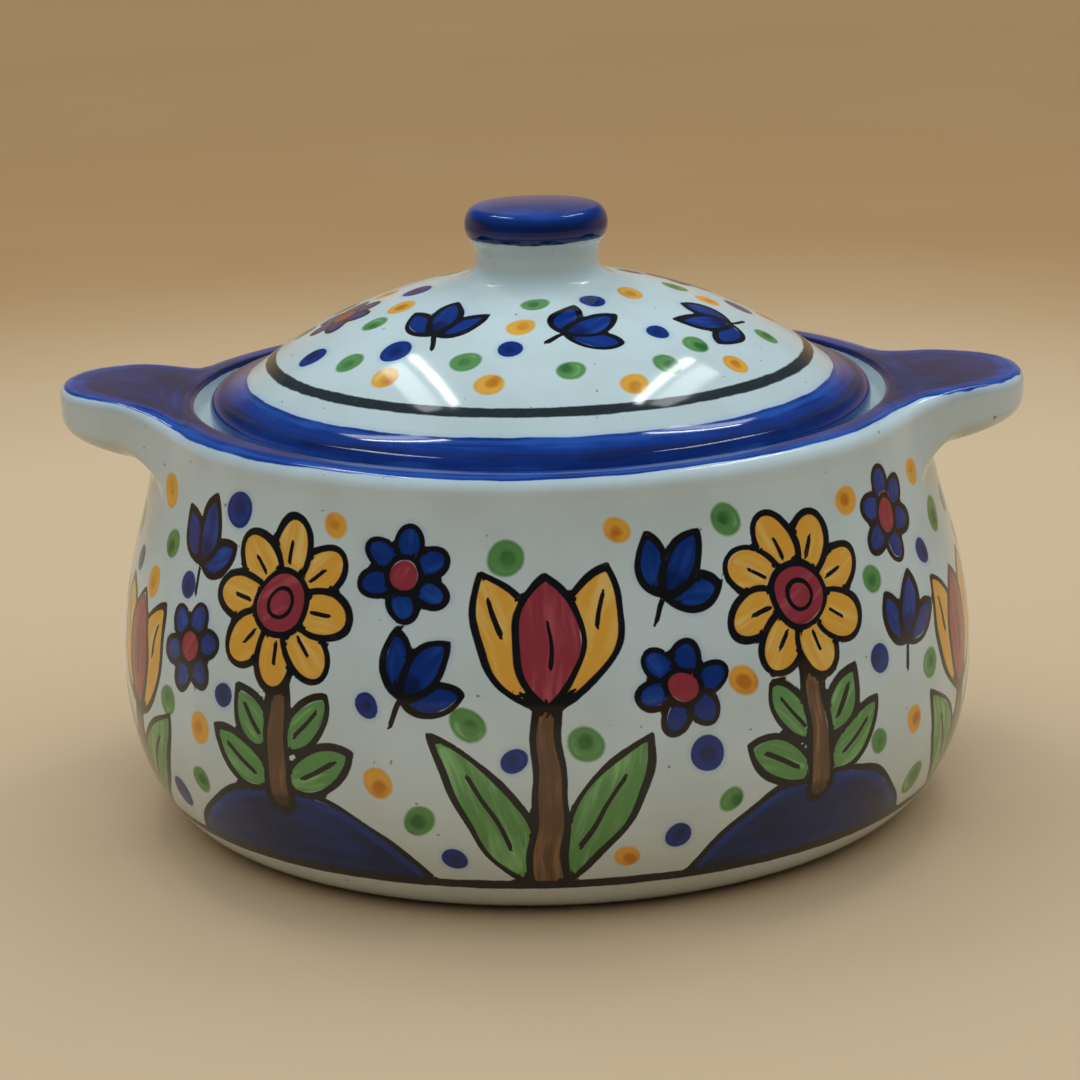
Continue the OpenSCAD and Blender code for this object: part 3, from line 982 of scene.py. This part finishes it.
# Painting of the lid and knob
lid_all = np.vstack([lid_points, knob_points])
is_knob = np.arange(len(lid_all)) >= len(lid_points)
lid_x, lid_y, lid_z = lid_all.T
lid_angle = np.arctan2(lid_y, lid_x)
lid_rr = np.hypot(lid_x, lid_y)
off_ball = np.abs(np.hypot(lid_rr, lid_z - ball_z) - ball_r)
on_dome = (off_ball < 0.5) & (lid_rr < dome_r + 0.5) & ~is_knob
slant = ball_r * np.arcsin(np.clip(lid_rr / ball_r, 0, 1))
lid_painting = Painting(lid_angle, np.maximum(lid_rr, 1.0), np.where(on_dome, -slant, NOWHERE))
lid_motifs = 7
lid_first = front + 0.25
LID_MOTIF_R = (37, 45)
for k in range(lid_motifs):
    angle = lid_first + k * TURN / lid_motifs
    height = -ball_r * math.asin(LID_MOTIF_R[k % 2] / ball_r)
    if k % 3 == 2:
        daisy(lid_painting, angle, height, 0.85)
    else:
        sprig(lid_painting, angle, height, spread(1.4), 0.95)
dotted = on_dome & (lid_rr > knob_base_r + 7) & (lid_rr < dome_r - 5.5)
scatter_dots(lid_painting, np.nonzero(dotted)[0], sizes=(2.9, 3.9), clear=1.4, count=50, apart=11.5)

# The ring round the dome, and blue on the flange and the knob's head
lid_line_w = 2.5
flange_blue_r = 68.2
head_bare = 1.9
on_top = (lid_z > flange_top_z) & ~is_knob
lid_line = np.where(on_top, within(2 * (lid_rr - dome_r) / lid_line_w), FAR)
lid_painting.edge = nearer(lid_line, lid_painting.edge)
lid_wander = waves(lid_angle, (0.12, 5), (0.07, 13), (0.05, 31))
flange_blue = np.maximum(flange_blue_r + lid_wander - lid_rr, seat_z + 1.0 - lid_z)
head_blue = knob_neck_along + head_bare + lid_wander[is_knob] - knob_along
lid_blue = within(np.concatenate([flange_blue[~is_knob], head_blue]))
lid_thin = np.where(is_knob, 0.3, 1.0) * smooth_step(lid_blue, -2.2, -1.0) * (lid_blue < 1)
lid_thin = np.where(np.abs(lid_line) < 2, 1.0, lid_thin)
lid_pool = np.where(is_knob, lid_z - head_z - head_t + 1.5, lid_blue + 4.5)
lid_across = np.where(is_knob, lid_z + lid_rr, lid_rr)
lid_strokes = np.column_stack([lid_x / band_long, lid_y / band_long, lid_across / band_hair])
lid_painting.band(lid_blue, lid_pool, lid_strokes)


def hand_over(painting, thin, bare, pieces):
    """Gives each piece its own share of a painting."""
    start = 0
    for piece in pieces:
        own = slice(start, start + len(piece.data.vertices))
        start = own.stop
        for paint, layer in painting.layers.items():
            give(piece, paint, layer[own])
        for name, line in (("edge", painting.edge[own]), ("trace", painting.trace[own])):
            give(piece, name, line)
            give(piece, "near_" + name, np.abs(line))
        give(piece, "pool", within(painting.pool[own]))
        give(piece, "thin", thin[own])
        give(piece, "bare", bare[own])
        give(piece, "brush", painting.brush[own])


hand_over(pot_painting, pot_thin, bare_foot, (bowl, right_lug, left_lug))
hand_over(lid_painting, lid_thin, np.full(len(lid_all), FAR), (lid, knob))


# Materials
class Graph:
    """Short calls for a material's nodes. A value may be a number or another node's output."""

    def __init__(self, tree):
        self.tree = tree
        self.tree.nodes.clear()

    def node(self, kind, **settings):
        made = self.tree.nodes.new(kind)
        for key, value in settings.items():
            setattr(made, key, value)
        return made

    def feed(self, socket, value):
        if isinstance(value, bpy.types.NodeSocket):
            self.tree.links.new(value, socket)
        else:
            socket.default_value = value

    def output(self, kind, values, output=0, **settings):
        """The output of a new node with these values as its first inputs."""
        made = self.node(kind, **settings)
        for socket, value in zip(made.inputs, values):
            self.feed(socket, value)
        return made.outputs[output]

    def math(self, operation, *values):
        return self.output("ShaderNodeMath", values, operation=operation)

    def attribute(self, name, output="Fac"):
        return self.node("ShaderNodeAttribute", attribute_name=name).outputs[output]

    def noise(self, vector, scale, detail):
        return self.output("ShaderNodeTexNoise", (vector, 0.0, scale, detail))

    def ramp(self, value, low, high, start=0.0, end=1.0):
        values = (value, low, high, start, end)
        return self.output("ShaderNodeMapRange", values, interpolation_type="SMOOTHSTEP")

    def mix(self, share, first, second):
        made = self.node("ShaderNodeMix", data_type="RGBA")
        self.feed(made.inputs["Factor"], share)
        self.feed(made.inputs["A"], first)
        self.feed(made.inputs["B"], second)
        return made.outputs["Result"]


def colour(red, green, blue):
    """A colour written in sRGB from 0 to 255, as linear light."""
    parts = [c / 255 for c in (red, green, blue)]
    return (*[c / 12.92 if c <= 0.04045 else ((c + 0.055) / 1.055) ** 2.4 for c in parts], 1.0)


WHITE = colour(219, 229, 228)
WHITE_DEEP = colour(211, 221, 219)
BLUE_HALO = colour(164, 184, 222)
SPECK = colour(112, 96, 80)
BISQUE = colour(222, 204, 178)
INK = colour(18, 17, 21)
INK_THIN = colour(44, 52, 56)
# Each paint as it looks where it is watery, even and heavy, half the width of its soft edge in millimetres,
# and how much the brush's strokes show in it
TINTS = {
    "yellow": ((250, 206, 112), (244, 176, 66), (206, 122, 32), 0.4, 1.0),
    "green": ((150, 200, 132), (100, 152, 86), (50, 106, 50), 0.4, 1.0),
    "red": ((188, 88, 96), (160, 56, 68), (120, 32, 44), 0.16, 1.0),
    "brown": ((154, 114, 82), (106, 75, 52), (60, 40, 28), 0.16, 1.0),
    "blue": ((40, 86, 172), (13, 50, 128), (9, 27, 76), 0.16, 0.6),
}


def glaze(name):
    """White glaze with paints under it, by the distances that the vertices hold."""
    material = bpy.data.materials.new(name)
    material.use_nodes = True
    g = Graph(material.node_tree)
    place = g.node("ShaderNodeTexCoord").outputs["Object"]
    fine = g.math("MULTIPLY_ADD", g.noise(place, 420, 2), 0.7, -0.35)
    broad = g.math("MULTIPLY_ADD", g.noise(place, 110, 2), 0.9, -0.45)
    wobble = g.math("ADD", fine, broad)
    streak = g.noise(g.attribute("brush", "Vector"), 1, 3)
    cloud = g.noise(place, 60, 3)
    pool = g.ramp(g.attribute("pool"), -0.9, 1.0, 1.0, 0.0)
    thin = g.attribute("thin")
    body = g.mix(g.ramp(cloud, 0.35, 0.7), WHITE, WHITE_DEEP)
    body = g.mix(g.ramp(g.noise(place, 700, 0), 0.84, 0.88, 0.0, 0.7), body, SPECK)
    body = g.mix(g.ramp(g.attribute("blue"), 0.0, 1.5, 0.35, 0.0), body, BLUE_HALO)
    for paint, (watery, even, heavy, soft, strokes) in TINTS.items():
        distance = g.attribute(paint)
        mask = g.ramp(g.math("ADD", distance, g.math("MULTIPLY", wobble, 0.3)), -soft, soft, 1.0, 0.0)
        edge = g.ramp(distance, -1.3, -0.3, 0.0, 0.22)
        load = g.math("MULTIPLY_ADD", cloud, 0.7, 0.08 - strokes / 2)
        load = g.math("MULTIPLY_ADD", streak, strokes, load)
        load = g.math("ADD", load, g.math("MULTIPLY_ADD", pool, 0.5, edge))
        load = g.math("SUBTRACT", load, g.math("MULTIPLY", thin, 0.32))
        tint = g.mix(g.ramp(load, 0.12, 0.5), colour(*watery), colour(*even))
        tint = g.mix(g.ramp(load, 0.6, 1.1), tint, colour(*heavy))
        body = g.mix(mask, body, tint)
    uneven = g.math("MULTIPLY", wobble, 0.4)
    lines = []
    for line, reach in (("edge", 1.15), ("trace", 1.6)):
        across = g.math("ADD", g.math("ABSOLUTE", g.attribute(line)), uneven)
        near = g.ramp(g.attribute("near_" + line), reach, reach + 0.25, 1.0, 0.0)
        lines.append(g.math("MULTIPLY", g.ramp(across, 0.8, 1.1, 1.0, 0.0), near))
    ink = g.math("MULTIPLY", g.math("MAXIMUM", *lines), g.ramp(fine, -0.3, -0.05, 0.93, 1.0))
    body = g.mix(ink, body, g.mix(thin, INK, INK_THIN))
    bare = g.ramp(g.attribute("bare"), -0.2, 0.2, 1.0, 0.0)
    body = g.mix(bare, body, BISQUE)
    shader = g.node("ShaderNodeBsdfPrincipled")
    g.feed(shader.inputs["Base Color"], body)
    rough = g.math("MULTIPLY_ADD", cloud, 0.06, 0.05)
    g.feed(shader.inputs["Roughness"], g.math("ADD", rough, g.math("MULTIPLY", bare, 0.7)))
    shader.inputs["IOR"].default_value = 1.52
    skin = g.node("ShaderNodeBump")
    skin.inputs["Strength"].default_value = 0.25
    skin.inputs["Distance"].default_value = 0.00012
    waviness = g.math("MULTIPLY", g.noise(place, 30, 1), 2.0)
    g.feed(skin.inputs["Height"], g.math("ADD", g.noise(place, 95, 2), waviness))
    g.feed(shader.inputs["Normal"], skin.outputs["Normal"])
    g.feed(g.node("ShaderNodeOutputMaterial").inputs["Surface"], shader.outputs["BSDF"])
    return material


painted_glaze = glaze("painted_glaze")
for piece in (bowl, lid, right_lug, left_lug, knob):
    piece.data.materials.append(painted_glaze)


# Floor, light and camera
def make_floor():
    rings = [0.0, 120, 160, 220, 320, 500, 800, 1400, 2500, 5000]
    pale_to, tan_from = 0.34, 0.75
    points, faces, _ = revolve([(np.column_stack([rings, np.zeros(len(rings))]), 96)])
    floor = make_object("floor", points, [face[::-1] for face in faces])
    material = bpy.data.materials.new("floor_paper")
    material.use_nodes = True
    g = Graph(material.node_tree)
    place = g.node("ShaderNodeTexCoord").outputs["Object"]
    away = g.output("ShaderNodeVectorMath", [place], "Value", operation="LENGTH")
    tone = g.ramp(g.noise(place, 6, 3), 0.3, 0.7, -0.04, 0.04)
    # Paler near the pot and darker, more orange tan from pale_to out to tan_from: partly a warmer tan,
    # partly painted shade standing in for light that falls off away from the pot
    far = g.math("ADD", g.ramp(away, pale_to, tan_from), tone)
    shader = g.node("ShaderNodeBsdfPrincipled")
    g.feed(shader.inputs["Base Color"], g.mix(far, colour(218, 183, 145), colour(186, 141, 92)))
    shader.inputs["Roughness"].default_value = 0.8
    shader.inputs["Specular IOR Level"].default_value = 0.15
    g.feed(g.node("ShaderNodeOutputMaterial").inputs["Surface"], shader.outputs["BSDF"])
    floor.data.materials.append(material)


def put(name, data, place, *axes):
    """Adds an object at a place, with its own X, Y and Z along the axes."""
    made = bpy.data.objects.new(name, data)
    made.matrix_world = Matrix.Translation(place) @ Matrix(axes).transposed().to_4x4()
    bpy.context.scene.collection.objects.link(made)
    return made


def strip_lamp(name, start, end, width, watts, tint):
    """A lamp in the shape of a bar from start to end, in metres, that faces the pot."""
    start, end = Vector(start), Vector(end)
    data = bpy.data.lights.new(name, "AREA")
    data.shape = "RECTANGLE"
    data.size = (end - start).length
    data.size_y = width
    data.energy = watts
    data.color = tint
    middle = (start + end) / 2
    along = (end - start).normalized()
    back = middle - Vector((0, 0, 0.08))
    back = (back - back.dot(along) * along).normalized()
    put(name, data, middle, along, back.cross(along), back).visible_camera = False


def make_light():
    """Two narrow lamps over the pot, each with a broader glow beside it, and a sky brightest overhead."""
    cool = (0.92, 0.98, 1.0)
    lamp_z = 0.67
    near_y, far_y = 0.102, 0.424
    sky_level = 1.4
    for name, side, near_x, far_x in (("left", -1, 0.174, 0.258), ("right", 1, 0.197, 0.315)):
        for kind, out, width, watts in (("strip", 0.0, 0.014, 0.3), ("glow", 0.05, 0.045, 0.2)):
            start = (side * (near_x + out), near_y, lamp_z)
            end = (side * (far_x + out), far_y, lamp_z)
            strip_lamp(name + "_" + kind, start, end, width, watts, cool)
    world = bpy.data.worlds.new("studio")
    bpy.context.scene.world = world
    world.use_nodes = True
    g = Graph(world.node_tree)
    path = g.node("ShaderNodeLightPath").outputs
    mirrored = g.math("MAXIMUM", path["Is Glossy Ray"], path["Is Transmission Ray"])
    seen = g.math("MAXIMUM", path["Is Camera Ray"], mirrored)
    direction = g.node("ShaderNodeTexCoord").outputs["Generated"]
    split = g.node("ShaderNodeSeparateXYZ")
    g.feed(split.inputs[0], direction)
    low = g.ramp(split.outputs["Z"], 0.05, 0.42, 1.0, 0.0)
    behind = g.ramp(split.outputs["Y"], -0.3, 0.5)
    backdrop = g.mix(g.math("MULTIPLY", low, behind), colour(72, 75, 78), colour(166, 138, 102))
    zenith = (0, 0.1, 1.0)
    above = g.output("ShaderNodeVectorMath", [direction, zenith], "Value", operation="DOT_PRODUCT")
    sky = g.mix(g.ramp(above, 0.15, 0.95), colour(34, 34, 34), colour(226, 245, 255))
    back = g.node("ShaderNodeBackground")
    g.feed(back.inputs["Color"], g.mix(seen, sky, backdrop))
    g.feed(back.inputs["Strength"], g.math("MULTIPLY_ADD", seen, 1 - sky_level, sky_level))
    g.feed(g.node("ShaderNodeOutputWorld").inputs["Surface"], back.outputs[0])


def make_camera():
    """The camera of the photograph, worked out from the pot's outline there."""
    lens = 120.0
    distance = 849.0
    height = math.radians(15.2)
    roll = math.radians(-1.5)
    aim = Vector((-0.95, 0, 60.9))
    ahead = Vector((0, math.cos(height), -math.sin(height)))
    right = Vector((1, 0, 0))
    up = right.cross(ahead)
    side = math.cos(roll) * right + math.sin(roll) * up
    top = math.cos(roll) * up - math.sin(roll) * right
    data = bpy.data.cameras.new("camera")
    data.lens = lens
    data.sensor_width = 36.0
    data.clip_start = 0.01
    place = (aim - distance * ahead) * MM
    bpy.context.scene.camera = put("camera", data, place, side, top, -ahead)


make_floor()
make_light()
make_camera()
bpy.context.scene.view_settings.view_transform = "Standard"
